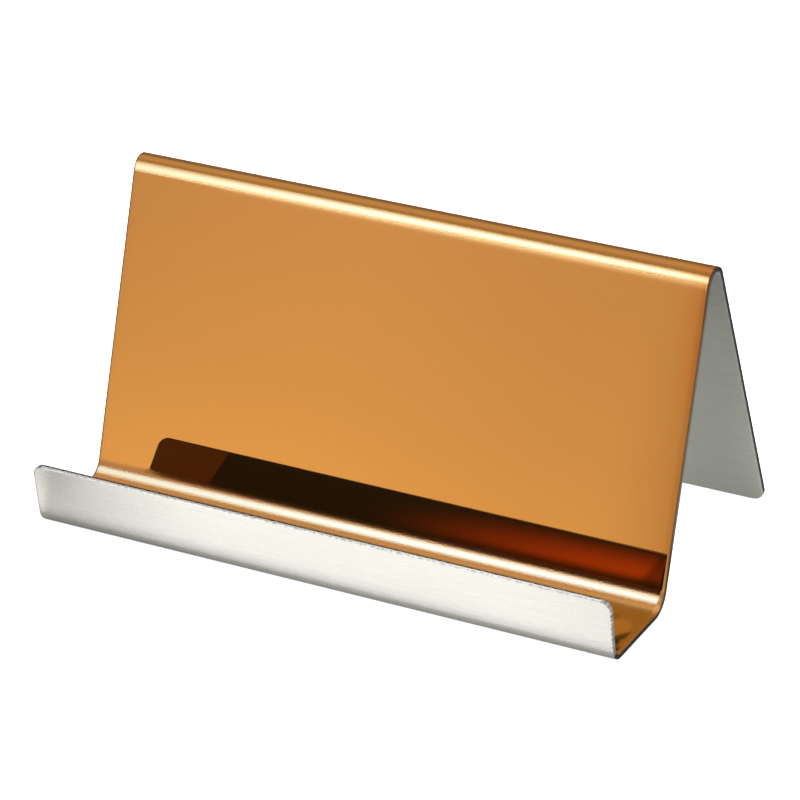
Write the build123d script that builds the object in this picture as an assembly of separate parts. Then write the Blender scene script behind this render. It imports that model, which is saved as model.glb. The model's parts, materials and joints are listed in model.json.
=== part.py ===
from build123d import *
import os
from math import cos, radians, sin

# A desk stand for business cards, folded from one blank of stainless steel sheet.
# Seen from the side, the sheet comes down a low front lip, runs back as a flat tray,
# rises as a leaning backrest, turns over the top and comes down behind as a leg.
# One side of the sheet is brushed steel. The other carries a gold mirror facing,
# which is the inside of the lip, the tray, the front of the backrest and the back of the leg.
# Millimetres. X runs across the width, +Y to the back, +Z up, and the desk is Z = 0.

# Sheet
width = 95.0
steel_thickness = 0.7
facing_thickness = 0.1

# Panel lengths on the steel side, between the sharp corners that the bends round off
lip_length = 10.5
tray_length = 16.35
backrest_length = 52.35

# Leans from the vertical, in degrees: the lip forwards, the backrest back, the leg forwards
lip_lean = 6.4
backrest_lean = 19.5
leg_lean = 20.35

# Radii on the inside of each bend
front_bend_radius = 1.6
rear_bend_radius = 3.2
top_bend_radius = 1.7

# Rounded corners of the sheet's two free ends
lip_corner_radius = 1.6
leg_corner_radius = 2.2

# Side view, as (back, up) points and directions along the sheet from the lip to the leg.
# The leg is as long as it takes to reach the desk.
sheet_thickness = steel_thickness + facing_thickness

lip_down = Vector(sin(radians(lip_lean)), -cos(radians(lip_lean)))
tray_back = Vector(1, 0)
backrest_up = Vector(sin(radians(backrest_lean)), cos(radians(backrest_lean)))
leg_down = Vector(sin(radians(leg_lean)), -cos(radians(leg_lean)))

front_corner = Vector(0, 0)
lip_end = front_corner - lip_down * lip_length
rear_corner = front_corner + tray_back * tray_length
top_corner = rear_corner + backrest_up * backrest_length
leg_length = top_corner.Y / cos(radians(leg_lean))
leg_end = top_corner + leg_down * leg_length


def toward_gold(direction):
    """Unit normal of a panel, pointing from its steel side to its gold side."""
    return Vector(-direction.Y, direction.X)


def corner_at(corner, before, after, depth):
    """Sharp corner of the fold line between two panels, at a depth into the sheet from its steel side."""
    normal_before = toward_gold(before)
    normal_after = toward_gold(after)
    reach = depth / (1 + normal_before.dot(normal_after))
    return corner + (normal_before + normal_after) * reach


def side_line(depth):
    """The folded sheet's line in the side view, with its bends, at a depth from the steel side."""
    points = [
        lip_end + toward_gold(lip_down) * depth,
        corner_at(front_corner, lip_down, tray_back, depth),
        corner_at(rear_corner, tray_back, backrest_up, depth),
        corner_at(top_corner, backrest_up, leg_down, depth),
        leg_end + toward_gold(leg_down) * depth,
    ]
    radii = [
        front_bend_radius + sheet_thickness - depth,
        rear_bend_radius + sheet_thickness - depth,
        top_bend_radius + depth,
    ]
    return FilletPolyline(*points, radius=radii)


def round_free_end(sheet, end, radius):
    """Rounds the two corners of the cut end whose middle is at a (back, up) point."""
    cut_end = sheet.faces().sort_by_distance((0, end.X, end.Y))[0]
    edges = cut_end.edges().sort_by(Axis.X)
    return fillet([edges[0], edges[-1]], radius)


def folded_layer(near, far):
    """One layer of the sheet, between two depths from its steel side, over the whole width."""
    near_line = side_line(near)
    far_line = side_line(far)
    lip_cut = Line(near_line @ 0, far_line @ 0)
    leg_cut = Line(near_line @ 1, far_line @ 1)
    side_view = make_face(near_line + far_line + lip_cut + leg_cut)
    sheet = extrude(Plane.YZ * side_view, amount=width / 2, both=True)
    sheet = round_free_end(sheet, lip_cut @ 0.5, lip_corner_radius)
    return round_free_end(sheet, leg_cut @ 0.5, leg_corner_radius)


steel_sheet = folded_layer(0, steel_thickness)
gold_mirror_face = folded_layer(steel_thickness, sheet_thickness)

# The origin is on the desk, under the middle of the stand
envelope = steel_sheet.bounding_box().add(gold_mirror_face.bounding_box())
to_origin = Pos(0, -envelope.center().Y, 0)

os.makedirs("parts", exist_ok=True)
export_step(to_origin * steel_sheet, "parts/steel_sheet.step")
export_step(to_origin * gold_mirror_face, "parts/gold_mirror_face.step")

print("overall size", envelope.size)
print("middle of the stand, back from the front fold corner", envelope.center().Y)
print("leg length", leg_length)
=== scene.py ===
# %% [markdown]
# # A card stand folded from one sheet
# The object is a desk stand for business cards. It is one blank of thin stainless steel, brushed on one
# side and gold mirror on the other, bent three times: a low lip, a tray, a leaning backrest and a rear leg.
# This lesson gives the measured solids their looks. The solids are the fixed frame: every mesh below is
# made in the same place and at the same size, only with finer bends, soft sheared edges and real finishes.

# %% Load the frame
import json
from math import asin, cos, degrees, hypot, pi, radians, sin, sqrt, tan

import bpy
import numpy as np
from mathutils import Matrix, Vector


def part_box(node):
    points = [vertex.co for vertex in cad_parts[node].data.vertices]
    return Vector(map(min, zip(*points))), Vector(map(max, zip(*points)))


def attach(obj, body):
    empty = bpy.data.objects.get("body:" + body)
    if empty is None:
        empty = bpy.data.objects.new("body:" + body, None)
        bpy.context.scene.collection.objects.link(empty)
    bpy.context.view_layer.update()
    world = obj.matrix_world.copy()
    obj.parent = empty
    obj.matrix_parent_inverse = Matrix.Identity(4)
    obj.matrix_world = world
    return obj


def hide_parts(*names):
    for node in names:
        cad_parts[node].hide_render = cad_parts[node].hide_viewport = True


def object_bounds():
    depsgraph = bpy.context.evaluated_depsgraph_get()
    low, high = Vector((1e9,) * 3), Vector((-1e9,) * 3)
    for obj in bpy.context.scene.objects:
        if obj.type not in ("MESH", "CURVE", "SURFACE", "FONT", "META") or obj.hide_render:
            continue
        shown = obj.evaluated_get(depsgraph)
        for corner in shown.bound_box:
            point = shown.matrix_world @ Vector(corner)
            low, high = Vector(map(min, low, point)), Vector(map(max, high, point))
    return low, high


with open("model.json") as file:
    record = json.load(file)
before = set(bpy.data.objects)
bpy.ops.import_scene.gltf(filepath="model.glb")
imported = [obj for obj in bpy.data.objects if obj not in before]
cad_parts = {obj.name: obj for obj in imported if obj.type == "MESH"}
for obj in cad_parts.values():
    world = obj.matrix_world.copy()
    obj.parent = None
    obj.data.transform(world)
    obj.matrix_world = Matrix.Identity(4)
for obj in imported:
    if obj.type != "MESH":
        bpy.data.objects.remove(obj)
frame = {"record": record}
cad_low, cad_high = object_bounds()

MM = 0.001

# %% [markdown]
# ## The sizes of the fold
# A folded sheet is fully described by a short list: how long each flat panel is, how far it leans, and how
# round each bend is. The frame already knows some of these, so they are read from it: the width from the
# box, the thickness from the height of the tray, and the lean of the backrest from the face that the cards
# lean on. The rest are the designer's sizes, repeated here in metres and measured on the steel side.

# %% Name the sizes
mounts = {mount["name"]: mount for mount in frame["record"]["mounts"]}
sheet_width = cad_high.x - cad_low.x
sheet_thickness = mounts["card_seat"]["pos_m"][2]
backrest_lean = asin(mounts["card_backrest"]["axis"][2])
lip_lean = radians(6.4)
leg_lean = radians(20.35)

lip_length = 10.5 * MM
tray_length = 16.35 * MM
backrest_length = 52.35 * MM
front_bend_inside = 1.6 * MM
rear_bend_inside = 3.2 * MM
top_bend_inside = 1.7 * MM
lip_corner_radius = 1.6 * MM
leg_corner_radius = 2.2 * MM

front_fold_y = cad_low.y + lip_length * sin(lip_lean)
print("sheet", round(sheet_width / MM, 2), "wide,", round(sheet_thickness / MM, 2), "thick,",
      "backrest leans", round(degrees(backrest_lean), 2), "degrees")

# %% [markdown]
# ## The line down the middle of the sheet
# When sheet is bent, one side stretches and the other shrinks, and the line in the middle keeps its length.
# So the fold is worked out on that middle line. Each panel has a direction, and its gold side is on the left
# of that direction. A sharp corner between two panels moves into the sheet along both of their normals.

# %% Find the middle line
directions = {
    "lip": Vector((sin(lip_lean), -cos(lip_lean))),
    "tray": Vector((1.0, 0.0)),
    "backrest": Vector((sin(backrest_lean), cos(backrest_lean))),
    "leg": Vector((sin(leg_lean), -cos(leg_lean))),
}


def toward_gold(panel):
    """Unit normal of a panel in the side view, from its steel side to its gold side."""
    back, up = directions[panel]
    return Vector((-up, back))


def corner_inside(corner, before, after, depth):
    """A fold corner given on the steel side, moved to a depth inside the sheet."""
    first, second = toward_gold(before), toward_gold(after)
    return corner + (first + second) * (depth / (1.0 + first.dot(second)))


half_sheet = sheet_thickness / 2
front_corner = Vector((front_fold_y, 0.0))
rear_corner = front_corner + directions["tray"] * tray_length
top_corner = rear_corner + directions["backrest"] * backrest_length
lip_end = front_corner - directions["lip"] * lip_length
leg_end = top_corner + directions["leg"] * (top_corner.y / cos(leg_lean))

middle_line = [
    lip_end + toward_gold("lip") * half_sheet,
    corner_inside(front_corner, "lip", "tray", half_sheet),
    corner_inside(rear_corner, "tray", "backrest", half_sheet),
    corner_inside(top_corner, "backrest", "leg", half_sheet),
    leg_end + toward_gold("leg") * half_sheet,
]
panel_runs = [(after - before).length for before, after in zip(middle_line, middle_line[1:])]
bend_radii = [inside + half_sheet for inside in (front_bend_inside, rear_bend_inside, top_bend_inside)]
headings = list(directions.values())
bend_turns = [before.angle(after) for before, after in zip(headings, headings[1:])]
tangents = [radius * tan(turn / 2) for radius, turn in zip(bend_radii, bend_turns)]
arc_lengths = [radius * turn for radius, turn in zip(bend_radii, bend_turns)]
flat_lengths = [run - before - after
                for run, before, after in zip(panel_runs, [0.0] + tangents, tangents + [0.0])]
blank_length = sum(flat_lengths) + sum(arc_lengths)
print("the flat blank is", round(sheet_width / MM, 1), "by", round(blank_length / MM, 1), "mm")

# %% [markdown]
# ## Wires: nodes written as sums
# Node trees can be built in a script, but a long list of nodes and links is hard to read. This small class
# wraps one socket. Adding, subtracting, multiplying or dividing two wires adds a Math node behind the scenes,
# and `node` makes any other node from its type, its settings and the values or wires of its sockets.

# %% Define the wires


class Wire:
    """One output socket of a node tree, which can be used in Python sums."""

    def __init__(self, socket):
        self.socket = socket

    @staticmethod
    def node(tree, kind, settings=None, sockets=None, output=0):
        """Adds a node, sets its settings, then its sockets, and returns a wire from one of its outputs.

        The setting items is the number of choices of an Index Switch, and stops are a ramp's colours.
        """
        made = tree.nodes.new(kind)
        for name, value in (settings or {}).items():
            if name == "items":
                for _ in range(value - len(made.index_switch_items)):
                    made.index_switch_items.new()
            elif name == "stops":
                for place, _ in value[1:-1]:
                    made.color_ramp.elements.new(place)
                for stop, (place, colour) in zip(made.color_ramp.elements, value):
                    stop.position, stop.color = place, (*colour, 1.0)
            else:
                setattr(made, name, value)
        for name, value in (sockets or {}).items():
            if isinstance(value, Wire):
                tree.links.new(value.socket, made.inputs[name])
            else:
                made.inputs[name].default_value = value
        return Wire(made.outputs[output])

    def output(self, name):
        """Another output of the same node."""
        return Wire(self.socket.node.outputs[name])

    def maths(self, operation, first, *others):
        """A Math node in this wire's tree."""
        values = dict(enumerate((first, *others)))
        return Wire.node(self.socket.id_data, "ShaderNodeMath", {"operation": operation}, values)

    def vector(self, operation, second=(0.0, 0.0, 0.0), output=0):
        """A Vector Math node on this wire and, where it takes one, a second vector."""
        tree = self.socket.id_data
        return Wire.node(tree, "ShaderNodeVectorMath", {"operation": operation}, {0: self, 1: second}, output)

    def smooth(self, low, high):
        """0 below low, 1 above high, and an eased step between them."""
        return Wire.node(self.socket.id_data, "ShaderNodeMapRange", {"interpolation_type": "SMOOTHSTEP"},
                         {"Value": self, "From Min": low, "From Max": high})

    def __add__(self, other):
        return self.maths("ADD", self, other)

    def __sub__(self, other):
        return self.maths("SUBTRACT", self, other)

    def __mul__(self, other):
        return self.maths("MULTIPLY", self, other)

    def __truediv__(self, other):
        return self.maths("DIVIDE", self, other)

    def __radd__(self, other):
        return self.maths("ADD", other, self)

    def __rsub__(self, other):
        return self.maths("SUBTRACT", other, self)

    def __rmul__(self, other):
        return self.maths("MULTIPLY", other, self)

    def __rtruediv__(self, other):
        return self.maths("DIVIDE", other, self)


print("wires ready")

# %% [markdown]
# ## Starting a material
# A material is a node tree that ends in a shader. The Principled shader has metal, lacquer and glow in one
# node, so each finish here starts from it. `feed` gives one of its sockets a wire or a constant. Colours
# can't go through a Math node, which would turn them grey, so `mix_colours` fades between them.

# %% Define the helpers for materials
COLOUR_A, COLOUR_B, COLOUR_RESULT = 6, 7, 2


def new_material(name):
    """A material with an empty tree, its Principled shader and the tree."""
    material = bpy.data.materials.new(name)
    material.use_nodes = True
    tree = material.node_tree
    tree.nodes.clear()
    shader = tree.nodes.new("ShaderNodeBsdfPrincipled")
    result = tree.nodes.new("ShaderNodeOutputMaterial")
    tree.links.new(shader.outputs["BSDF"], result.inputs["Surface"])
    return material, shader, tree


def feed(shader, name, value):
    """Gives a shader socket a wire, or a constant on the socket itself."""
    if isinstance(value, Wire):
        shader.id_data.links.new(value.socket, shader.inputs[name])
    else:
        shader.inputs[name].default_value = value


def mix_colours(factor, first, second):
    """Fades from one colour to another."""
    return Wire.node(factor.socket.id_data, "ShaderNodeMix", {"data_type": "RGBA"},
                     {"Factor": factor, COLOUR_A: first, COLOUR_B: second}, COLOUR_RESULT)


print("colours are mixed in sockets", COLOUR_A, "and", COLOUR_B, "of a Mix node")

# %% [markdown]
# ## Where a finish sits on the sheet
# Brushing and polishing are done on the flat sheet, before it is bent, so their patterns follow the
# blank and not the world. Every vertex of the blank keeps its flat place as a UV map, its distance from
# the cut edge as `inset`, its place through the thickness as `depth`, and as `bend` whether it is in a
# bend. The finishes below read those.

# %% Read the blank's own coordinates
BLANK_UV = "blank"
NOISE_MIDDLE = 0.5


def blank_place(tree):
    """Flat place on the blank in millimetres: x across the width, y from the lip's edge to the leg's edge."""
    place = Wire.node(tree, "ShaderNodeUVMap", {"uv_map": BLANK_UV})
    return place.vector("MULTIPLY", (blank_length / MM, blank_length / MM, 0.0))


def across_and_along(place):
    """Millimetres to the right of the sheet's middle, and millimetres from the lip's edge."""
    across = Wire.node(place.socket.id_data, "ShaderNodeSeparateXYZ", sockets={"Vector": place})
    return across - blank_length / MM / 2, across.output("Y")


def attribute(tree, name):
    """A number stored on the mesh: inset or depth in millimetres, or bend from 0 to 1."""
    return Wire.node(tree, "ShaderNodeAttribute", {"attribute_name": name}, output="Fac")


def noise(place, across, along, detail=2.0, roughness=0.5):
    """Soft noise from 0 to 1 whose blots are this many millimetres wide and long."""
    stretched = place.vector("MULTIPLY", (1.0 / across, 1.0 / along, 1.0))
    return Wire.node(place.socket.id_data, "ShaderNodeTexNoise", {"noise_dimensions": "2D"},
                     {"Vector": stretched, "Scale": 1.0, "Detail": detail, "Roughness": roughness})


def bump(height, distance):
    """Turns a height from 0 to 1 into a normal, with the real height of the relief in metres."""
    relief = {"Height": height, "Distance": distance}
    return Wire.node(height.socket.id_data, "ShaderNodeBump", sockets=relief)


print("blank coordinates: UV map", BLANK_UV, "and attributes inset, depth and bend")

# %% [markdown]
# ## Gold mirror
# Coloured mirror sheet is stainless steel polished to a mirror and coated with a thin gold film under a
# clear lacquer. What we see is mostly the room, tinted. Each reflection tints the light again, which is
# why the image of the lip in the backrest turns from gold to deep red. A flat colour would look dead,
# so the tint drifts a little, the polish has faint streaks, and a wave of a fraction of a micrometre
# bends reflections. Where the sheet was bent, the film is stretched: it is paler and goes hazy with a
# fine grain, so the bright bands there have soft ends. Beside the cut the film is scorched dark, less
# so down the right side of the tray and the backrest. Toward that side the backrest is painted a little
# redder, a painted shade where the light falls off.

# %% Make the gold mirror
GOLD_TINT = (0.895, 0.380, 0.081, 1.0)
GOLD_TINT_DEEP = (0.882, 0.367, 0.075, 1.0)
GOLD_PALE = (0.875, 0.377, 0.098, 1.0)
GOLD_FALLOFF_RED = (0.91, 0.315, 0.053, 1.0)
GOLD_EDGE = (0.12, 0.062, 0.03, 1.0)
MIRROR_ROUGHNESS = 0.018
POLISH_ROUGHNESS = 0.014
HAZE_ROUGHNESS = 0.125
EDGE_ROUGHNESS = 0.12
LACQUER_WEIGHT = 0.10
LACQUER_ROUGHNESS = 0.32
WAVE_HEIGHT = 0.12e-6
GRAIN_IN_WAVES = 150.0
DRIFT_SIZE, POLISH_SIZE = (34.0, 21.0), (14.0, 0.5)
GRAIN_SIZE, WAVE_SIZE = (0.30, 0.27), (9.0, 7.0)
PALE_IN_HAZE = (0.55, 1.0)
SCORCHED_TO = (0.05, 0.34)
RIGHT_HALF = (-10.0, 10.0)
SPARED, SPARED_LESS_ON_BACKREST, SPARED_LESS_AT_TOP = 0.10, 0.04, 0.10
BACKREST_STARTS, TOP_STARTS = (20.0, 35.0), (62.0, 71.0)
RED_ACROSS, RED_STARTS, RED_RISE = (43.0, 47.5), (24.0, 32.0), (48.0, 62.0)
RED_LOW, RED_GAIN = 0.35, 0.65


def gold_mirror():
    """The finish of the gold layer."""
    material, shader, tree = new_material("gold_mirror")
    place = blank_place(tree)
    off_centre, along = across_and_along(place)
    inset = attribute(tree, "inset")
    haze = attribute(tree, "bend")
    drift = noise(place, *DRIFT_SIZE)
    polish = noise(place, *POLISH_SIZE, detail=3.0)
    grain = noise(place, *GRAIN_SIZE, detail=1.0) - NOISE_MIDDLE
    spared = SPARED - SPARED_LESS_ON_BACKREST * along.smooth(*BACKREST_STARTS)
    spared = spared - SPARED_LESS_AT_TOP * along.smooth(*TOP_STARTS)
    scorched = 1.0 - (inset + spared * off_centre.smooth(*RIGHT_HALF)).smooth(*SCORCHED_TO)
    flat = mix_colours(drift, GOLD_TINT, GOLD_TINT_DEEP)
    body = mix_colours(haze.smooth(*PALE_IN_HAZE), flat, GOLD_PALE)
    # Painted shade: the right side of the backrest is redder, where the light falls off.
    red_falloff = off_centre.smooth(*RED_ACROSS) * along.smooth(*RED_STARTS)
    body = mix_colours(red_falloff * (RED_LOW + RED_GAIN * along.smooth(*RED_RISE)), body, GOLD_FALLOFF_RED)
    feed(shader, "Base Color", mix_colours(scorched, body, GOLD_EDGE))
    feed(shader, "Metallic", 1.0)
    mirror = MIRROR_ROUGHNESS + POLISH_ROUGHNESS * polish
    feed(shader, "Roughness", mirror + HAZE_ROUGHNESS * haze + EDGE_ROUGHNESS * scorched)
    feed(shader, "Coat Weight", LACQUER_WEIGHT)
    feed(shader, "Coat Roughness", LACQUER_ROUGHNESS)
    wave = noise(place, *WAVE_SIZE, detail=1.0)
    feed(shader, "Normal", bump(wave + GRAIN_IN_WAVES * haze * grain, WAVE_HEIGHT))
    return material


gold = gold_mirror()
print("gold mirror tints", GOLD_TINT[:3], GOLD_TINT_DEEP[:3])

# %% [markdown]
# ## The cut edge
# The sheet was cut hot, so its edge is black with oxide. In places the steel under the oxide shows: in
# a rough line along the middle of the cut beside the tray, wiped grey down the sides of the backrest,
# and worn at the inner corner of the leg. The lip is where fingers take a card, so its edge is ground
# bright again, with some black left along the top. The lip's top edge is also painted lighter toward its
# left end, a painted highlight. Painting this by hand would need an image. Here each patch is a product
# of soft steps in `depth`, in the place along the blank and in noise.

# %% Colour the cut edge
CUT_OXIDE = (0.006, 0.007, 0.008, 1.0)
CUT_BARE = (0.10, 0.10, 0.095, 1.0)
CUT_WIPED = (0.165, 0.152, 0.14, 1.0)
CUT_WORN = (0.085, 0.085, 0.08, 1.0)
GROUND_LIGHT = (0.93, 0.92, 0.90, 1.0)
GROUND_DARK = (0.58, 0.575, 0.56, 1.0)
SIDE_LIGHT = (0.64, 0.63, 0.60, 1.0)
SIDE_DARK = (0.25, 0.245, 0.235, 1.0)
STRIATION_SIZE, STRIATION_DEPTH = (0.7, 0.22), 0.16
BARE_FROM, BARE_TO, BARE_ENDS = (0.26, 0.36), (0.46, 0.56), (24.0, 29.0)
WIPED_FROM, WIPED_TO = (30.0, 38.0), (69.5, 75.5)
WORN_FROM, WORN_DEPTH = (70.5, 74.5), (0.11, 0.22)
SPECK_RANGE, SPECK_HIGHLIGHT_AT_LEFT, SPECK_HIGHLIGHT_LOSS, SPECK_HIGHLIGHT_ACROSS = (0.35, 0.6), 0.35, 0.7, (-40.0, 40.0)
MOTTLE_SIZE, MOTTLE_RANGE = (0.5, 0.5), (0.35, 0.65)
TOP_EDGE_TO, TOP_EDGE_FROM_SIDE = (0.7, 1.5), (1.0, 2.2)
BLACK_WANDER, BLACK_FROM = 0.5, (0.44, 0.52)


def cut_edge(place, depth, on_lip):
    """Colour of the cut: black oxide with bare patches, and the ground edge of the lip, with a painted
    highlight toward its left end.
    """
    off_centre, along = across_and_along(place)
    from_side = sheet_width / MM / 2 - off_centre.maths("ABSOLUTE", off_centre)
    striations = noise(place, *STRIATION_SIZE, detail=3.0)
    uneven = depth + STRIATION_DEPTH * striations
    bare = uneven.smooth(*BARE_FROM) * (1.0 - uneven.smooth(*BARE_TO)) * (1.0 - along.smooth(*BARE_ENDS))
    on_backrest = along.smooth(*WIPED_FROM) * (1.0 - along.smooth(*WIPED_TO))
    oxide = mix_colours(on_backrest, mix_colours(bare, CUT_OXIDE, CUT_BARE), CUT_WIPED)
    worn_inside = along.smooth(*WORN_FROM) * (1.0 - depth.smooth(*WORN_DEPTH))
    oxide = mix_colours(worn_inside, oxide, CUT_WORN)
    top_edge = (1.0 - along.smooth(*TOP_EDGE_TO)) * from_side.smooth(*TOP_EDGE_FROM_SIDE)
    # Ground specks from noise, plus a painted highlight: the lip's top edge is lighter toward its left end.
    speck_and_highlight = striations.smooth(*SPECK_RANGE) + SPECK_HIGHLIGHT_AT_LEFT - SPECK_HIGHLIGHT_LOSS * off_centre.smooth(*SPECK_HIGHLIGHT_ACROSS)
    mottle = noise(place, *MOTTLE_SIZE, detail=3.0).smooth(*MOTTLE_RANGE)
    ground = mix_colours(top_edge, mix_colours(mottle, SIDE_DARK, SIDE_LIGHT),
                         mix_colours(speck_and_highlight, GROUND_DARK, GROUND_LIGHT))
    left_black = top_edge * (depth + BLACK_WANDER * (striations - NOISE_MIDDLE)).smooth(*BLACK_FROM)
    return mix_colours(on_lip * (1.0 - left_black), oxide, ground)


print("cut edge: oxide, wiped from", WIPED_FROM[0], "to", WIPED_TO[1], "mm along the blank")

# %% [markdown]
# ## Brushed steel
# A belt drags fine scratches along the width of the sheet. They are far longer than they are wide, so
# the noise is stretched along the width. Scratches spread reflections across their own direction, which
# the shader's anisotropy gives, and the visible lines come from colour, roughness and relief together.
# The last tenth of a millimetre of the face is tinted black by the heat of the cut, but not on the lip,
# where the ground edge reaches a little way onto the face.

# %% Make the brushed steel
STEEL_LIGHT = (0.735, 0.708, 0.655, 1.0)
STEEL_DARK = (0.675, 0.653, 0.605, 1.0)
HEAT_BLACK = (0.055, 0.056, 0.058, 1.0)
GRAZING_TINT = (0.6, 0.6, 0.6, 1.0)
BRUSH_ROUGHNESS = 0.24
BRUSH_SPREAD = 0.08
CUT_ROUGHNESS = 0.14
BRUSH_HEIGHT = 0.9e-6
BRUSH_FINE, BRUSH_BROAD, BRUSH_CLOUD = (5.0, 0.06), (22.0, 0.5), (40.0, 24.0)
FINE_SHARE, BROAD_SHARE, CLOUD_SHARE = 0.6, 0.3, 0.1
FINE_RELIEF, BROAD_RELIEF = 0.7, 0.3
STREAK_RANGE = (0.3, 0.7)
ANISOTROPY, ANISOTROPY_TURN = 0.6, 0.25
GROUND_TO = (8.3, 9.8)
HEATED_TO = (0.02, 0.12)
CUT_TO, CUT_ONTO_LIP = (0.01, 0.07), 0.14


def brushed_steel():
    """The finish of the steel layer."""
    material, shader, tree = new_material("brushed_steel")
    place = blank_place(tree)
    along = across_and_along(place)[1]
    inset = attribute(tree, "inset")
    fine = noise(place, *BRUSH_FINE, detail=3.0, roughness=0.6)
    broad = noise(place, *BRUSH_BROAD, detail=2.0)
    cloud = noise(place, *BRUSH_CLOUD)
    streaks = FINE_SHARE * fine + BROAD_SHARE * broad + CLOUD_SHARE * cloud
    brushed = mix_colours(streaks.smooth(*STREAK_RANGE), STEEL_DARK, STEEL_LIGHT)
    on_lip = 1.0 - along.smooth(*GROUND_TO)
    heated = (1.0 - inset.smooth(*HEATED_TO)) * (1.0 - on_lip)
    face = mix_colours(heated, brushed, HEAT_BLACK)
    cut = 1.0 - (inset - CUT_ONTO_LIP * on_lip).smooth(*CUT_TO)
    cut_colour = cut_edge(place, attribute(tree, "depth"), on_lip)
    feed(shader, "Base Color", mix_colours(cut, face, cut_colour))
    feed(shader, "Metallic", 1.0)
    feed(shader, "Roughness", BRUSH_ROUGHNESS + BRUSH_SPREAD * fine + CUT_ROUGHNESS * cut)
    feed(shader, "Specular Tint", GRAZING_TINT)
    feed(shader, "Anisotropic", ANISOTROPY)
    feed(shader, "Anisotropic Rotation", ANISOTROPY_TURN)
    feed(shader, "Normal", bump(FINE_RELIEF * fine + BROAD_RELIEF * broad, BRUSH_HEIGHT))
    return material


steel = brushed_steel()
print("brushed steel from", STEEL_DARK[:3], "to", STEEL_LIGHT[:3])

# %% [markdown]
# ## Cutting the flat blank
# The blank is a rectangle with rounded corners. Its mesh is a grid whose rows cross the width and whose
# columns run along the length. A grid that is fine everywhere would be heavy, so rows crowd together only
# where the bends will be and at the ends, and columns at the sides, where the edges are rolled and worn.
# Every curve gets its own vertices, and the flat panels stay light.

# %% Choose rows and columns
widest_roll = 0.85 * MM
worn_width = 1.25 * MM
haze_fade = 0.3 * MM
smallest_step = 1e-4 * MM
CORNER_STEPS = 20
ROLL_STEPS = 20
WORN_STEPS = 10
BEND_STEPS = 48
FLAT_STEPS = 8
MIDDLE_COLUMNS = (0.4, 1.0, 2.0, 5.0, 12.0, 24.0)


def eased(count):
    """Numbers from 0 to 1 that start slowly, as the heights along a quarter circle do."""
    return [1.0 - cos(pi / 2 * step / count) for step in range(count + 1)]


def bend_spans():
    """Start and end of each bend along the blank."""
    spans, start = [], 0.0
    for flat, arc in zip(flat_lengths, arc_lengths):
        spans.append((start + flat, start + flat + arc))
        start += flat + arc
    return spans


def end_rows(radius):
    """Distances of the rows near a free end: fine in the corner, then even in the strip behind it."""
    strip = np.linspace(radius, max(worn_width, radius + MM), WORN_STEPS + 1).tolist()
    return [radius * share for share in eased(CORNER_STEPS)] + strip


def blank_rows():
    """Places of the rows along the blank, from the lip's edge to the leg's edge."""
    rows = set(end_rows(lip_corner_radius))
    rows.update(blank_length - row for row in end_rows(leg_corner_radius))
    flat_start = max(end_rows(lip_corner_radius))
    flat_end = blank_length - max(end_rows(leg_corner_radius))
    for start, end in bend_spans():
        rows.update(np.linspace(flat_start, start - haze_fade, FLAT_STEPS + 1).tolist())
        rows.update(np.linspace(start, end, BEND_STEPS + 1).tolist())
        flat_start = end + haze_fade
    rows.update(np.linspace(flat_start, flat_end, FLAT_STEPS + 1).tolist())
    ordered = sorted(rows)
    kept = [row for row, after in zip(ordered, ordered[1:]) if after - row > smallest_step]
    return kept + ordered[-1:]


def blank_columns():
    """Distances from a side edge: close together in the rolls, then wider and wider to the middle."""
    in_rolls = [widest_roll * share for share in eased(ROLL_STEPS)]
    in_strip = np.linspace(widest_roll, worn_width, WORN_STEPS).tolist()[1:]
    beyond = [worn_width + step * MM for step in MIDDLE_COLUMNS]
    return in_rolls + in_strip + beyond


rows, columns = blank_rows(), blank_columns()
print(len(rows), "rows and", 2 * len(columns) + 1, "columns")

# %% [markdown]
# ## Two layers from one blank
# The gold film and the steel are two closed shells that share a surface. No sheet is flat right up to its
# edge: polishing and brushing wear the last millimetre beside the sides down by a hundredth of a
# millimetre, the cut drags the gold side down in a shallow slope, wider at the right than at the left, and
# the steel corner is taken off with a small roll. A Bevel modifier would round every edge alike. Here
# `inset_at` is the distance from the outline, also round the corners, and the heights follow from it.

# %% Shape the edges
film_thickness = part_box("gold_mirror_face")[1].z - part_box("steel_sheet")[1].z
film_at_edge = 0.02 * MM
gold_roll_width = 0.40 * MM
GOLD_ROLL_SLOPE, GOLD_ROLL_POWER = 0.26, 1.2
LEFT_ROLL_SHARE = 0.4
ROLL_GROWTH = (0.0, 0.9, -0.4)
roll_fade = 1.2 * MM
gold_corner_width, gold_corner_drop = 0.04 * MM, 0.025 * MM
steel_roll_width, steel_roll_drop = 0.30 * MM, 0.07 * MM
worn_drop = 0.0078 * MM


def end_inset(along):
    """How far the outline has drawn in from the side at a row, because of the rounded corners."""
    for from_end, radius in ((along, lip_corner_radius), (blank_length - along, leg_corner_radius)):
        if from_end < radius:
            return radius - sqrt(max(0.0, radius ** 2 - (radius - from_end) ** 2))
    return 0.0


def inset_at(across, along):
    """Distance of a point of the blank from its outline."""
    from_side = sheet_width / 2 - abs(across)
    for from_end, radius in ((along, lip_corner_radius), (blank_length - along, leg_corner_radius)):
        if from_end < radius and from_side < radius:
            return max(0.0, radius - hypot(radius - from_side, radius - from_end))
    return max(0.0, min(from_side, along, blank_length - along))


def quarter(inset, width, drop):
    """Drop of a rounded edge at a distance from the outline."""
    if inset >= width:
        return 0.0
    return drop * (1.0 - sqrt(max(0.0, 1.0 - (1.0 - inset / width) ** 2)))


def worn(across):
    """How much the strip beside a side is worn down."""
    from_side = max(0.0, sheet_width / 2 - abs(across))
    return worn_drop * max(0.0, 1.0 - from_side / worn_width) ** 2


def near_bends(along, shares, fade):
    """Sum of a share for each bend, whole inside the bend and fading out beside it."""
    total = 0.0
    for (start, end), share in zip(bend_spans(), shares):
        outside = max(start - along, along - end, 0.0)
        total += share * max(0.0, 1.0 - outside / fade)
    return total


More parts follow.
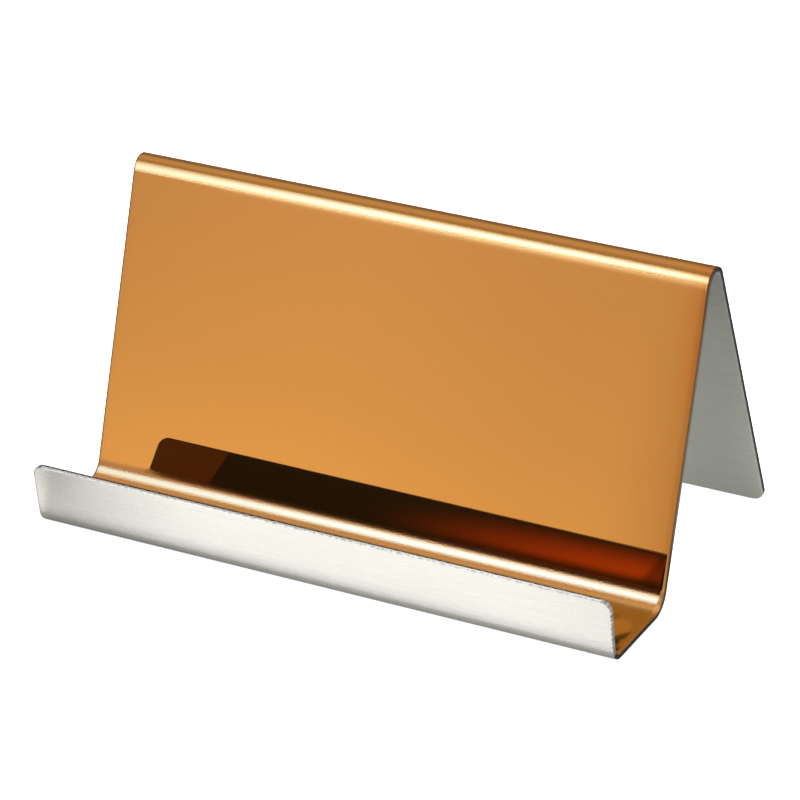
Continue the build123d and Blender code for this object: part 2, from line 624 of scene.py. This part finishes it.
def gold_top(inset, across, along):
    """Height of the gold side: worn beside the sides and dragged down by the cut."""
    to_right = min(1.0, max(0.0, 0.5 + across / sheet_width))
    side_share = LEFT_ROLL_SHARE + (1.0 - LEFT_ROLL_SHARE) * to_right
    roll = gold_roll_width * side_share * (1.0 + near_bends(along, ROLL_GROWTH, roll_fade))
    dragged = GOLD_ROLL_SLOPE * roll * max(0.0, 1.0 - inset / roll) ** GOLD_ROLL_POWER
    return sheet_thickness - worn(across) - dragged - quarter(inset, gold_corner_width, gold_corner_drop)


def film_bottom(inset, across, along):
    """Height of the surface that the film and the steel share."""
    share = min(1.0, inset / gold_roll_width)
    return gold_top(inset, across, along) - film_at_edge - (film_thickness - film_at_edge) * share


def steel_bottom(inset, across, along):
    """Height of the steel side, with its rolled corner."""
    return worn(across) + quarter(inset, steel_roll_width, steel_roll_drop)


print("film", round(film_thickness / MM, 3), "mm, thinned to", round(film_at_edge / MM, 3), "mm at the cut")

# %% [markdown]
# ## Closing the shells
# Each layer is a grid for its lower surface, a grid for its upper surface, and a wall of a few rings
# round the border, so that it is a closed shell. While the vertices are laid down, their distance from
# the outline, their depth and their nearness to a bend are noted, and stored on the mesh for the
# finishes to read.

# %% Cut the layers
WALL_STEPS = 4
BEND_HAZE = (1.0, 1.0, 0.5)


def blank_grid():
    """Flat places of the grid's points, row by row."""
    grid = []
    for along in rows:
        half_row = sheet_width / 2 - end_inset(along)
        left = [-half_row + column for column in columns]
        grid.append([(across, along) for across in left + [0.0] + [-across for across in reversed(left)]])
    return grid


def border_of(grid):
    """Row and column of each point on the grid's border, once round."""
    last_row, last_column = len(grid) - 1, len(grid[0]) - 1
    half_round = [(0, column) for column in range(last_column)]
    half_round += [(row, last_column) for row in range(last_row)]
    return half_round + [(last_row - row, last_column - column) for row, column in half_round]


def store_places(mesh, flat):
    """Stores each vertex's flat place as a UV map, and its inset, depth and nearness to a bend."""
    stored = {
        "inset": [inset / MM for _, _, inset, _ in flat],
        "depth": [depth / MM for _, _, _, depth in flat],
        "bend": [near_bends(along, BEND_HAZE, haze_fade) for _, along, _, _ in flat],
    }
    for label, values in stored.items():
        mesh.attributes.new(label, "FLOAT", "POINT").data.foreach_set("value", values)
    uv_map = mesh.uv_layers.new(name=BLANK_UV)
    for loop in mesh.loops:
        across, along = flat[loop.vertex_index][:2]
        uv_map.data[loop.index].uv = (0.5 + across / blank_length, along / blank_length)


def cut_layer(name, lower, upper):
    """A closed shell between two surfaces that are given by the distance from the outline."""
    grid, flat, faces = blank_grid(), [], []

    def vertex(across, along, inset, depth):
        flat.append((across, along, inset, depth))
        return len(flat) - 1

    def on_surface(across, along, height):
        inset = inset_at(across, along)
        return vertex(across, along, inset, height(inset, across, along))

    bottom, top = ([[on_surface(*place, height) for place in row] for row in grid]
                   for height in (lower, upper))
    for row in range(len(grid) - 1):
        for column in range(len(grid[0]) - 1):
            ring = [(row, column), (row, column + 1), (row + 1, column + 1), (row + 1, column)]
            faces.append([top[r][c] for r, c in ring])
            faces.append([bottom[r][c] for r, c in reversed(ring)])
    border = border_of(grid)
    rings = [[bottom[r][c] for r, c in border]]
    for step in range(1, WALL_STEPS):
        share, ring = step / WALL_STEPS, []
        for r, c in border:
            foot, head = lower(0.0, *grid[r][c]), upper(0.0, *grid[r][c])
            ring.append(vertex(*grid[r][c], 0.0, foot + (head - foot) * share))
        rings.append(ring)
    rings.append([top[r][c] for r, c in border])
    for below, above in zip(rings, rings[1:]):
        for here in range(len(border)):
            after = (here + 1) % len(border)
            faces.append([below[here], below[after], above[after], above[here]])
    mesh = bpy.data.meshes.new(name)
    mesh.from_pydata([(across, along, depth - half_sheet) for across, along, _, depth in flat], [], faces)
    store_places(mesh, flat)
    mesh.polygons.foreach_set("use_smooth", [True] * len(mesh.polygons))
    print(name, "blank:", len(mesh.vertices), "vertices,", len(mesh.polygons), "faces")
    return mesh


gold_blank = cut_layer("gold_mirror_skin", film_bottom, gold_top)
steel_blank = cut_layer("steel_sheet_folded", steel_bottom, film_bottom)

# %% [markdown]
# ## The press brake
# A press brake bends sheet along straight lines. In Blender the same job is one Geometry Nodes tree: a
# line of five points gives the middle line, Fillet Curve rounds its three corners to the bend radii,
# and Sample Curve finds, for each vertex, the point and the direction of that line at the vertex's
# distance along the blank. The vertex is then set across the width and through the thickness from
# there. Modelling each bend by hand would work too, but here one change to an angle refolds both layers
# and they still fit.

# %% Build the press brake
FILLET_POINTS = 240
PANELS = ("Lip", "Tray", "Backrest", "Leg")
BENDS = ("Front", "Rear", "Top")


def rounded_line(tree, sizes):
    """The middle line as a curve: a point for each end and corner, with the corners rounded."""
    points = [sizes["Lip Edge"]]
    for panel in PANELS:
        lean, run = sizes[panel + " Lean"], sizes[panel + " Run"]
        back = run * lean.maths("SINE", lean)
        up = run * lean.maths("COSINE", lean)
        step = Wire.node(tree, "ShaderNodeCombineXYZ", sockets={"X": 0.0, "Y": back, "Z": up})
        points.append(points[-1].vector("ADD", step))

    index = Wire.node(tree, "GeometryNodeInputIndex")
    corners = {str(place): point for place, point in enumerate(points)}
    corner = Wire.node(tree, "GeometryNodeIndexSwitch", {"data_type": "VECTOR", "items": len(points)},
                       {"Index": index, **corners})
    radii = {str(place + 1): sizes[bend + " Bend"] for place, bend in enumerate(BENDS)}
    radius = Wire.node(tree, "GeometryNodeIndexSwitch", {"data_type": "FLOAT", "items": len(points)},
                       {"Index": index, **radii})
    line = Wire.node(tree, "GeometryNodeMeshLine", sockets={"Count": len(points)})
    line = Wire.node(tree, "GeometryNodeSetPosition", sockets={"Geometry": line, "Position": corner})
    line = Wire.node(tree, "GeometryNodeMeshToCurve", sockets={"Mesh": line})
    return Wire.node(tree, "GeometryNodeFilletCurve", {"mode": "POLY"},
                     {"Curve": line, "Count": FILLET_POINTS, "Radius": radius})


def press_brake():
    """A node tree that folds a flat blank along the rounded middle line."""
    tree = bpy.data.node_groups.new("press_brake", "GeometryNodeTree")
    tree.is_modifier = True
    socket_kinds = [("Blank", "NodeSocketGeometry"), ("Lip Edge", "NodeSocketVector")]
    socket_kinds += [(panel + " Run", "NodeSocketFloat") for panel in PANELS]
    socket_kinds += [(panel + " Lean", "NodeSocketFloat") for panel in PANELS]
    socket_kinds += [(bend + " Bend", "NodeSocketFloat") for bend in BENDS]
    socket_kinds += [("Finish", "NodeSocketMaterial")]
    for name, kind in socket_kinds:
        tree.interface.new_socket(name, in_out="INPUT", socket_type=kind)
    tree.interface.new_socket("Folded", in_out="OUTPUT", socket_type="NodeSocketGeometry")
    given = tree.nodes.new("NodeGroupInput")
    sizes = {name: Wire(given.outputs[name]) for name, _ in socket_kinds}

    flat = Wire.node(tree, "GeometryNodeInputPosition")
    across = Wire.node(tree, "ShaderNodeSeparateXYZ", sockets={"Vector": flat})
    along, through = across.output("Y"), across.output("Z")
    sample = Wire.node(tree, "GeometryNodeSampleCurve", {"mode": "LENGTH"},
                       {"Curves": rounded_line(tree, sizes), "Length": along}, "Position")
    sideways = Wire.node(tree, "ShaderNodeCombineXYZ", sockets={"X": 1.0})
    normal = sideways.vector("CROSS_PRODUCT", sample.output("Tangent")).vector("NORMALIZE")
    out = Wire.node(tree, "ShaderNodeVectorMath", {"operation": "SCALE"},
                    {"Vector": normal, "Scale": through})
    side = Wire.node(tree, "ShaderNodeCombineXYZ", sockets={"X": across})
    folded = Wire.node(tree, "GeometryNodeSetPosition", sockets={
        "Geometry": sizes["Blank"], "Position": sample.vector("ADD", side).vector("ADD", out)})
    folded = Wire.node(tree, "GeometryNodeRealizeInstances", sockets={"Geometry": folded})
    folded = Wire.node(tree, "GeometryNodeSetMaterial",
                       sockets={"Geometry": folded, "Material": sizes["Finish"]})
    result = tree.nodes.new("NodeGroupOutput")
    tree.links.new(folded.socket, result.inputs["Folded"])
    return tree


brake = press_brake()
print("press brake:", len(brake.nodes), "nodes,", len(brake.interface.items_tree), "sockets")

# %% [markdown]
# ## Folding the two layers
# Both blanks go through the same tree with the same sizes. A modifier keeps its inputs under socket
# identifiers, not names, and they are set before the object is evaluated. The evaluated result is then
# kept as a plain mesh.

# %% Fold the layers
fold_sizes = {"Lip Edge": (0.0, *middle_line[0])}
fold_sizes.update({panel + " Run": run for panel, run in zip(PANELS, panel_runs)})
fold_sizes.update({"Lip Lean": pi - lip_lean, "Tray Lean": pi / 2,
                   "Backrest Lean": backrest_lean, "Leg Lean": pi - leg_lean})
fold_sizes.update({bend + " Bend": radius for bend, radius in zip(BENDS, bend_radii)})


def fold(blank, finish):
    """Folds a blank with the press brake and returns an object with a plain mesh."""
    piece = bpy.data.objects.new(blank.name, blank)
    bpy.context.scene.collection.objects.link(piece)
    modifier = piece.modifiers.new("press_brake", "NODES")
    modifier.node_group = brake
    for item in brake.interface.items_tree:
        if item.in_out == "INPUT" and item.name in fold_sizes:
            modifier[item.identifier] = fold_sizes[item.name]
        if item.in_out == "INPUT" and item.name == "Finish":
            modifier[item.identifier] = finish
    evaluated = piece.evaluated_get(bpy.context.evaluated_depsgraph_get())
    folded = bpy.data.meshes.new_from_object(evaluated)
    piece.modifiers.remove(modifier)
    piece.data = folded
    folded.name = piece.name
    corners = [Vector(corner) for corner in piece.bound_box]
    size = [(max(c[axis] for c in corners) - min(c[axis] for c in corners)) / MM for axis in range(3)]
    print(piece.name, "folded to", [round(length, 2) for length in size], "mm")
    return piece


gold_skin = fold(gold_blank, gold)
steel_core = fold(steel_blank, steel)

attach(gold_skin, "root")
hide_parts("gold_mirror_face")
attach(steel_core, "root")
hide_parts("steel_sheet")

# %% [markdown]
# ## The floor
# Product shots on pure white are often made on a light table: a sheet of white acrylic that glows from
# below as well as being lit from above, so that shadows almost vanish. A plain square is enough for
# that. It lies a hair below the stand, so that the two faces don't fight for the same pixels.

# %% Lay the light table
FLOOR_HALF = 3.0
FLOOR_DROP = 0.02 * MM
FACING_UP = ((-1, -1), (1, -1), (1, 1), (-1, 1))


def square_sheet(name, corners, material):
    """One square face as an object of the stage."""
    mesh = bpy.data.meshes.new(name)
    mesh.from_pydata([tuple(corner) for corner in corners], [], [(0, 1, 2, 3)])
    mesh.materials.append(material)
    sheet = bpy.data.objects.new(name, mesh)
    bpy.context.scene.collection.objects.link(sheet)
    return sheet


floor_material, floor_shader, floor_tree = new_material("light_table")
square_sheet("floor", [(x * FLOOR_HALF, y * FLOOR_HALF, -FLOOR_DROP) for x, y in FACING_UP], floor_material)
print("floor", 2 * FLOOR_HALF, "m square")

# %% [markdown]
# ## Light and shade painted on the table
# The brushed lip mirrors the floor in front of it, so what lies there decides how the lip looks. Light and
# shade are painted into the table's colour: it is lightest in front of the middle, less at the right and
# least at the left, which the lip shows as a soft change from grey to white, and a painted bright patch lies
# beyond the lip's left end. Close to the stand and beside the leg a contact shade is painted, which darkens
# the lip's lower edge. All places are in millimetres on the table. The lip sees it along slanted lines, so
# `lip_x` is the place on the lip that mirrors a point.

# %% Shade the table
FLOOR_WHITE = (0.88, 0.88, 0.88, 1.0)
FLOOR_SHADE = (0.33, 0.341, 0.346, 1.0)
FLOOR_CONTACT = (0.0, 0.0, 0.0, 1.0)
FLOOR_ROUGHNESS, FLOOR_GLOSS = 0.9, 0.1
SLANT, LIP_FRONT = 0.657, 26.5
LIT_FROM, LIT_TO, LIT_LOSS = (-58.5, -16.5), (30.0, 58.0), 0.26
FAR_X, FAR_Y, FAR_LOSS = (-46.0, -38.0), (-37.0, -31.0), 0.32
LEFT_END, LEFT_GAIN = (-47.4, -46.7), 0.7
CONTACT_FROM, CONTACT_TO, CONTACT_TILT = (-29.5, -27.6), (-12.0, -2.0), 0.006
LEG_X, LEG_Y = (30.0, 50.0), (-8.0, 2.0)
NEAR_SHADE, LEG_SHADE = 0.9, 0.25

in_millimetres = (1.0 / MM, 1.0 / MM, 1.0 / MM)
table_place = Wire.node(floor_tree, "ShaderNodeTexCoord", output="Object").vector("MULTIPLY", in_millimetres)
table_x = Wire.node(floor_tree, "ShaderNodeSeparateXYZ", sockets={"Vector": table_place})
table_y = table_x.output("Y")
lip_x = table_x - SLANT * (table_y + LIP_FRONT)
far_corner = (1.0 - lip_x.smooth(*FAR_X)) * (1.0 - table_y.smooth(*FAR_Y))
# Painted light: the table's colour is lighter in front of the middle, darker at the left and in the far
# corner, with a bright patch at the lip's left end.
lit = lip_x.smooth(*LIT_FROM) * (1.0 - LIT_LOSS * lip_x.smooth(*LIT_TO)) - FAR_LOSS * far_corner
lit = lit + LEFT_GAIN * (1.0 - lip_x.smooth(*LEFT_END))
# Painted contact shade near the stand's foot and beside the leg.
near_stand = (table_y - CONTACT_TILT * table_x).smooth(*CONTACT_FROM) * (1.0 - table_y.smooth(*CONTACT_TO))
beside_leg = table_x.smooth(*LEG_X) * table_y.smooth(*LEG_Y)
contact = NEAR_SHADE * near_stand + LEG_SHADE * beside_leg
floor_colour = mix_colours(contact, mix_colours(lit, FLOOR_SHADE, FLOOR_WHITE), FLOOR_CONTACT)
feed(floor_shader, "Base Color", floor_colour)
feed(floor_shader, "Roughness", FLOOR_ROUGHNESS)
feed(floor_shader, "Specular IOR Level", FLOOR_GLOSS)
print("table shaded from", FLOOR_SHADE[:3], "to", FLOOR_WHITE[:3])

# %% [markdown]
# ## The glow of the table
# Light also comes up through the acrylic. The glow is painted light, placed unevenly: a little of it
# everywhere, more in a strip in front of the stand and at its foot, and most under the tent of backrest and
# leg, where it lights the brushed insides. To the camera the table glows full white, so the floor and the
# backdrop merge without a horizon.

# %% Let the table glow
GLOW = (0.06, 0.06, 0.06, 1.0)
GLOW_FRONT = (0.16, 0.16, 0.16, 1.0)
GLOW_CONTACT = (0.41, 0.415, 0.41, 1.0)
GLOW_UNDER = (0.46, 0.508, 0.456, 1.0)
GLOW_TO_CAMERA = (1.0, 1.0, 1.0, 1.0)
FRONT_FROM, FRONT_TO = (-33.5, -30.0), (-20.0, -10.0)
FOOT_AT_LEFT, FOOT_GAIN, FOOT_RISE = 0.66, 0.34, (-45.0, 5.0)
TENT_FRONT, TENT_BACK = (-8.0, 2.0), (8.0, 22.0)
TENT_FRONT_SHARE, TENT_BACK_SHARE = 0.66, 0.34
TENT_LOSS, TENT_FALL = 0.58, (6.0, 40.0)

to_camera = Wire.node(floor_tree, "ShaderNodeLightPath", output="Is Camera Ray")
# Painted light: glow in a strip in front of the stand, at its foot and under the tent.
in_front = table_y.smooth(*FRONT_FROM) * (1.0 - table_y.smooth(*FRONT_TO))
glow = mix_colours(in_front, GLOW, GLOW_FRONT)
at_foot = near_stand * (FOOT_AT_LEFT + FOOT_GAIN * table_x.smooth(*FOOT_RISE))
glow = mix_colours(at_foot, glow, GLOW_CONTACT)
under = TENT_FRONT_SHARE * table_y.smooth(*TENT_FRONT) + TENT_BACK_SHARE * table_y.smooth(*TENT_BACK)
under = under * (1.0 - TENT_LOSS * table_x.smooth(*TENT_FALL))
glow = mix_colours(under, glow, GLOW_UNDER)
feed(floor_shader, "Emission Color", mix_colours(to_camera, glow, GLOW_TO_CAMERA))
feed(floor_shader, "Emission Strength", 1.0)
print("table glow", GLOW[0], "far off,", GLOW_UNDER[1], "under the tent")

# %% [markdown]
# ## The room that the mirror sees
# A mirror shows its surroundings, so lighting it means deciding what it sees. The room is written as a
# function of direction, in degrees: azimuth 0 is straight in front of the stand, minus is to the left,
# and elevation is the height above the horizon. The backrest sees a low pale wall at the front left,
# brightest in its middle. The top bend looks over the rest of the room, which is dim, most of all in the
# corner behind at the left. A white card at the right fills the cut edges, and one behind the stand gives
# the leg something to mirror. A strong lamp overhead lights the floor; it is hidden from mirrors, so it
# leaves no spot in the gold.

# %% Describe the room
WALL_DIM, WALL_BRIGHT, WALL_BRIGHTENS = 0.46, 0.25, (-36.0, -26.5)
WALL_FADE, WALL_FADES = 0.07, (-27.0, -23.0)
WALL_END, WALL_ENDS = 0.3, (-22.9, -21.0)
WALL_LOW, WALL_LOSS, WALL_RISE = 1.22, 0.30, (3.0, 12.0)
WALL_FOOT, WALL_FOOT_TOP = 0.10, (5.0, 7.5)
ROOM_HIGH, ROOM_BACK, ROOM_TURNS, ROOM_ABOVE = 0.41, 0.15, (-112.0, -80.0), (34.0, 54.0)
CORNER_DIM, CORNER_ACROSS, CORNER_TOP = 0.5, (-172.0, -128.0, 14.0), (24.0, 46.0)
FILL, FILL_ACROSS, FILL_TOP = 0.9, (46.0, 134.0, 16.0), (30.0, 50.0)
REAR_CARD, REAR_ACROSS, REAR_HEIGHT = 0.35, (118.0, 160.0), (-4.0, 46.0, 25.0)
OVERHEAD, OVERHEAD_FROM = 18.0, (72.0, 80.0)
TO_DEGREES = degrees(1.0)


def window(value, low, high, softness):
    """1 inside a range, 0 outside it, with soft ends."""
    return value.smooth(low, low + softness) * (1.0 - value.smooth(high - softness, high))


world = bpy.data.worlds.new("studio")
bpy.context.scene.world = world
world.use_nodes = True
sky = world.node_tree
sky.nodes.clear()
ray = Wire.node(sky, "ShaderNodeTexCoord", output="Generated").vector("NORMALIZE")
east = Wire.node(sky, "ShaderNodeSeparateXYZ", sockets={"Vector": ray})
back, height = east.output("Y"), east.output("Z")
azimuth = TO_DEGREES * east.maths("ARCTAN2", east, -1.0 * back)
elevation = TO_DEGREES * height.maths("ARCSINE", height)

wall = WALL_DIM + WALL_BRIGHT * azimuth.smooth(*WALL_BRIGHTENS)
wall = wall * (1.0 - WALL_FADE * azimuth.smooth(*WALL_FADES)) * (1.0 - WALL_END * azimuth.smooth(*WALL_ENDS))
wall_foot = WALL_FOOT * (1.0 - elevation.smooth(*WALL_FOOT_TOP))
wall_light = wall * (WALL_LOW - WALL_LOSS * elevation.smooth(*WALL_RISE) + wall_foot)
high = ROOM_HIGH + ROOM_BACK * (1.0 - azimuth.smooth(*ROOM_TURNS))
room = wall_light + (high - wall_light) * elevation.smooth(*ROOM_ABOVE)
back_corner = window(azimuth, *CORNER_ACROSS) * (1.0 - elevation.smooth(*CORNER_TOP))
fill = FILL * window(azimuth, *FILL_ACROSS) * (1.0 - elevation.smooth(*FILL_TOP))
rear_card = REAR_CARD * azimuth.smooth(*REAR_ACROSS) * window(elevation, *REAR_HEIGHT)
path = Wire.node(sky, "ShaderNodeLightPath", output="Glossy Depth")
overhead = OVERHEAD * elevation.smooth(*OVERHEAD_FROM) * (1.0 - path.output("Is Glossy Ray"))
first_light = room * (1.0 - CORNER_DIM * back_corner) + fill + rear_card + overhead
print("room of", len(sky.nodes), "nodes, overhead lamp", OVERHEAD, "times a white card")

# %% [markdown]
# ## Light after several bounces
# Inside the fold, light goes from gold face to gold face before it reaches the camera. Real films
# scatter a part of it at each bounce, and the stand's own corner hides much of the room, so this light
# is dimmed more than the tint alone would do. Light Path's Glossy Depth counts the bounces: one means
# that the gold shows the room itself, two and more get colours of their own, and the camera sees a
# white backdrop.

# %% Count the bounces
SECOND_BOUNCE_LOW = (0.075, 0.09, 0.11, 1.0)
SECOND_BOUNCE_HIGH = (0.36, 0.66, 1.00, 1.0)
SECOND_BOUNCE_RISE = (36.0, 54.0)
LATER_BOUNCES = (0.020, 0.112, 0.4, 1.0)
BACKDROP = (1.0, 1.0, 1.0, 1.0)
MORE_THAN_ONE, MORE_THAN_TWO = 1.5, 2.5

first_colour = Wire.node(sky, "ShaderNodeCombineXYZ", sockets={axis: first_light for axis in "XYZ"})
second_colour = mix_colours(elevation.smooth(*SECOND_BOUNCE_RISE), SECOND_BOUNCE_LOW, SECOND_BOUNCE_HIGH)
seen = mix_colours(path.maths("GREATER_THAN", path, MORE_THAN_ONE), first_colour, second_colour)
seen = mix_colours(path.maths("GREATER_THAN", path, MORE_THAN_TWO), seen, LATER_BOUNCES)
seen = mix_colours(path.output("Is Camera Ray"), seen, BACKDROP)
background = Wire.node(sky, "ShaderNodeBackground", sockets={"Color": seen, "Strength": 1.0})
world_output = sky.nodes.new("ShaderNodeOutputWorld")
sky.links.new(background.socket, world_output.inputs["Surface"])
bpy.context.scene.view_settings.view_transform = "Standard"
print("room light:", len(sky.nodes), "nodes")

# %% [markdown]
# ## The softbox
# One softbox stands at the front left, 11 cm from the top bend. The bends mirror it as the two bright
# bands, and as it is near, the top bend and the rear bend see it from different places. Light linking
# gives it to the gold face alone, and its light reaches neither the steel nor the floor nor the camera.
# It is an object of its own and not a patch of the room, because a room is infinitely far away and would
# look the same from both bends.

# %% Hang the softbox
softbox_azimuth, softbox_elevation = radians(-36.0), radians(31.0)
softbox_target = Vector((0.0, 7.0, 46.0)) * MM
softbox_distance = 110.0 * MM
softbox_reach = 160.0 * MM
FACING_STAND = ((-1, -1), (-1, 1), (1, 1), (1, -1))


def facing_axes(azimuth, elevation):
    """Unit vectors from the stand toward a place, and to the right and up as seen from that place."""
    toward = Vector((sin(azimuth) * cos(elevation), -cos(azimuth) * cos(elevation), sin(elevation)))
    right = Vector((cos(azimuth), sin(azimuth), 0.0))
    return toward, right, toward.cross(right)


toward_softbox, softbox_right, softbox_up = facing_axes(softbox_azimuth, softbox_elevation)
softbox_centre = softbox_target + toward_softbox * softbox_distance
softbox_cloth = bpy.data.materials.new("softbox_cloth")
softbox_cloth.use_nodes = True
cloth = softbox_cloth.node_tree
cloth.nodes.clear()
box_corners = [softbox_centre + softbox_reach * (x * softbox_right + y * softbox_up) for x, y in FACING_STAND]
softbox = square_sheet("softbox", box_corners, softbox_cloth)
softbox.visible_camera = False
softbox.visible_diffuse = False
softbox.visible_shadow = False
lit_by_softbox = bpy.data.collections.new("lit_by_softbox")
lit_by_softbox.objects.link(gold_skin)
softbox.light_linking.receiver_collection = lit_by_softbox
turned_to_stand = softbox.data.polygons[0].normal.dot(-softbox_centre) > 0.0
print("softbox", 2 * softbox_reach, "m square, turned to the stand:", turned_to_stand)

# %% [markdown]
# ## The light of its cloth
# The light on the cloth is a bell over a bowed ridge, so the bands have soft sides, and its lower edge
# is sharp. The middle is cool: on film a strong highlight on gold loses its colour, and cool light
# mirrored in a warm metal comes out white. A faint slit is seen only in light that is mirrored three
# times or more, as the red glow in the image of the lip. Places on the cloth are in millimetres from its
# centre.

# %% Light the cloth
BELL_COLOURS = [(0.0, (0.0, 0.0, 0.0)), (0.04, (0.0, 0.0, 0.0)), (0.10, (0.030, 0.052, 0.105)),
                (0.25, (0.055, 0.110, 0.280)), (0.5, (0.063, 0.175, 0.560)), (1.0, (0.075, 0.260, 1.000))]
DARK = (0.0, 0.0, 0.0, 1.0)
SLIT_LIGHT = (0.047, 0.047, 0.047, 1.0)
BELL_MIDDLE = (19.4, 4.2)
BELL_WIDTH, BELL_HEIGHT = 58.0, 31.0
RIDGE_SLOPE, RIDGE_BOW = 0.24, 0.00107
EDGE_SLOPE, EDGE_AT = 0.1155, (-47.0, -45.7)
EDGE_RAISED, RAISED_AT = 0.6, (-24.0, -8.0)
SLIT_START, SLIT_SLOPE = 10.8, 0.638
SLIT_ABOVE, SLIT_BELOW = (-5.0, 2.6), (1.9, 4.4)
SLIT_RISE, SLIT_ENDS, SLIT_LOSS = (-18.0, 28.0), (28.2, 29.7), 0.6

from_centre = Wire.node(cloth, "ShaderNodeNewGeometry").vector("SUBTRACT", tuple(softbox_centre))
sideways = from_centre.vector("DOT_PRODUCT", tuple(softbox_right), "Value") / MM
upwards = from_centre.vector("DOT_PRODUCT", tuple(softbox_up), "Value") / MM
off_middle = sideways - BELL_MIDDLE[0]
off_ridge = upwards - (BELL_MIDDLE[1] + RIDGE_SLOPE * off_middle - RIDGE_BOW * off_middle * off_middle)
fall = off_middle * off_middle / (2.0 * BELL_WIDTH ** 2) + off_ridge * off_ridge / (2.0 * BELL_HEIGHT ** 2)
bell = fall.maths("EXPONENT", -1.0 * fall)
bell_colour = Wire.node(cloth, "ShaderNodeValToRGB", {"stops": BELL_COLOURS}, {"Fac": bell})
raised = EDGE_RAISED * (1.0 - sideways.smooth(*RAISED_AT))
lower_edge = (upwards - EDGE_SLOPE * sideways - raised).smooth(*EDGE_AT)

bounce = Wire.node(cloth, "ShaderNodeLightPath", output="Glossy Depth")
facing = 1.0 - Wire.node(cloth, "ShaderNodeNewGeometry", output="Backfacing")
once = facing * bounce.maths("LESS_THAN", bounce, MORE_THAN_ONE)
thrice = facing * bounce.maths("GREATER_THAN", bounce, MORE_THAN_TWO)
below_slit = SLIT_START + SLIT_SLOPE * sideways - upwards
slit = below_slit.smooth(*SLIT_ABOVE) * (1.0 - below_slit.smooth(*SLIT_BELOW))
slit = slit * sideways.smooth(*SLIT_RISE) * (1.0 - SLIT_LOSS * sideways.smooth(*SLIT_ENDS))
first_seen = mix_colours(lower_edge * once, DARK, bell_colour)
late_seen = mix_colours(slit * thrice, DARK, SLIT_LIGHT)
print("cloth brightest at", BELL_MIDDLE, "mm from its centre")

# %% [markdown]
# ## Painted reflections in the tray
# The corner of the tray shows the room after two bounces, and in it a pale shape and a few dark ones
# are painted reflections. They belong to the room and not to the stand, so they are drawn as slanted
# ellipses on the softbox's plane, for light of two bounces alone: the pale one shines, and the dark ones
# darken the clear sheet.

# %% Draw the mirrored shapes
CLOTH_STRENGTH = 10.0
CLEAR = (1.0, 1.0, 1.0, 1.0)
DARK_SHAPE_SHADE = (0.06, 0.05, 0.04, 1.0)
PALE_SHAPE_LIGHT = (0.012, 0.021, 0.030, 1.0)
SHAPE_EDGE = (0.7, 1.3)
PALE_SHAPE = (18.0, 60.9, 2.15, 2.1)
DARK_SHAPES = [(17.6, 62.7, 2.1, 0.56, 0.08), (16.35, 63.2, 0.55, 0.9),
               (15.9, 65.6, 0.9, 1.1, 0.7), (18.5, 58.15, 0.55, 0.2, 0.45)]
BOUNCE_SOFTNESS = 0.1


def blot(middle_across, middle_up, half_across, half_up, slope=0.0):
    """1 inside a slanted ellipse on the softbox's plane, 0 outside it."""
    aside = (sideways - middle_across) / half_across
    above = (upwards - middle_up - slope * (sideways - middle_across)) / half_up
    return 1.0 - (aside * aside + above * above).smooth(*SHAPE_EDGE)


twice = facing * window(bounce, MORE_THAN_ONE, MORE_THAN_TWO, BOUNCE_SOFTNESS)
dark_shapes = blot(*DARK_SHAPES[0])
for shape in DARK_SHAPES[1:]:
    dark_shapes = dark_shapes.maths("MAXIMUM", dark_shapes, blot(*shape))
# Painted reflections: a pale blot that shines and dark blots that darken the sheet, for two-bounce light
# only.
twice_seen = mix_colours(twice * blot(*PALE_SHAPE) * (1.0 - dark_shapes), DARK, PALE_SHAPE_LIGHT)
cloth_light = first_seen.vector("ADD", late_seen).vector("ADD", twice_seen)
emission = Wire.node(cloth, "ShaderNodeEmission", sockets={"Color": cloth_light, "Strength": CLOTH_STRENGTH})
sheet_colour = mix_colours(twice * dark_shapes, CLEAR, DARK_SHAPE_SHADE)
clear = Wire.node(cloth, "ShaderNodeBsdfTransparent", sockets={"Color": sheet_colour})
both = Wire.node(cloth, "ShaderNodeAddShader", sockets={0: clear, 1: emission})
cloth_output = cloth.nodes.new("ShaderNodeOutputMaterial")
cloth.links.new(both.socket, cloth_output.inputs["Surface"])
print("softbox cloth:", len(cloth.nodes), "nodes,", len(DARK_SHAPES), "dark shapes")

# %% [markdown]
# ## The camera
# The place, turn and lens of the camera were worked out from the outlines of the stand in the
# photograph, as a surveyor does: a long lens from about 60 cm away, a little to the right and above.

# %% Set the camera
camera_azimuth, camera_elevation, camera_roll = radians(29.061), radians(27.535), radians(-1.866)
camera_distance = 597.85 * MM
camera_target = Vector((7.720, -13.508, 27.182)) * MM
toward_camera, level_right, level_up = facing_axes(camera_azimuth, camera_elevation)
camera_right = cos(camera_roll) * level_right + sin(camera_roll) * level_up
camera_up = cos(camera_roll) * level_up - sin(camera_roll) * level_right
camera_data = bpy.data.cameras.new("camera")
camera_data.sensor_width = 36.0
camera_data.lens = 187.70
camera = bpy.data.objects.new("camera", camera_data)
bpy.context.scene.collection.objects.link(camera)
axes = Matrix((camera_right, camera_up, toward_camera)).transposed().to_4x4()
camera.matrix_world = Matrix.Translation(camera_target + toward_camera * camera_distance) @ axes
bpy.context.scene.camera = camera
print("camera at", [round(c, 3) for c in camera.matrix_world.translation], "m,",
      "lens", round(camera_data.lens, 1), "mm")
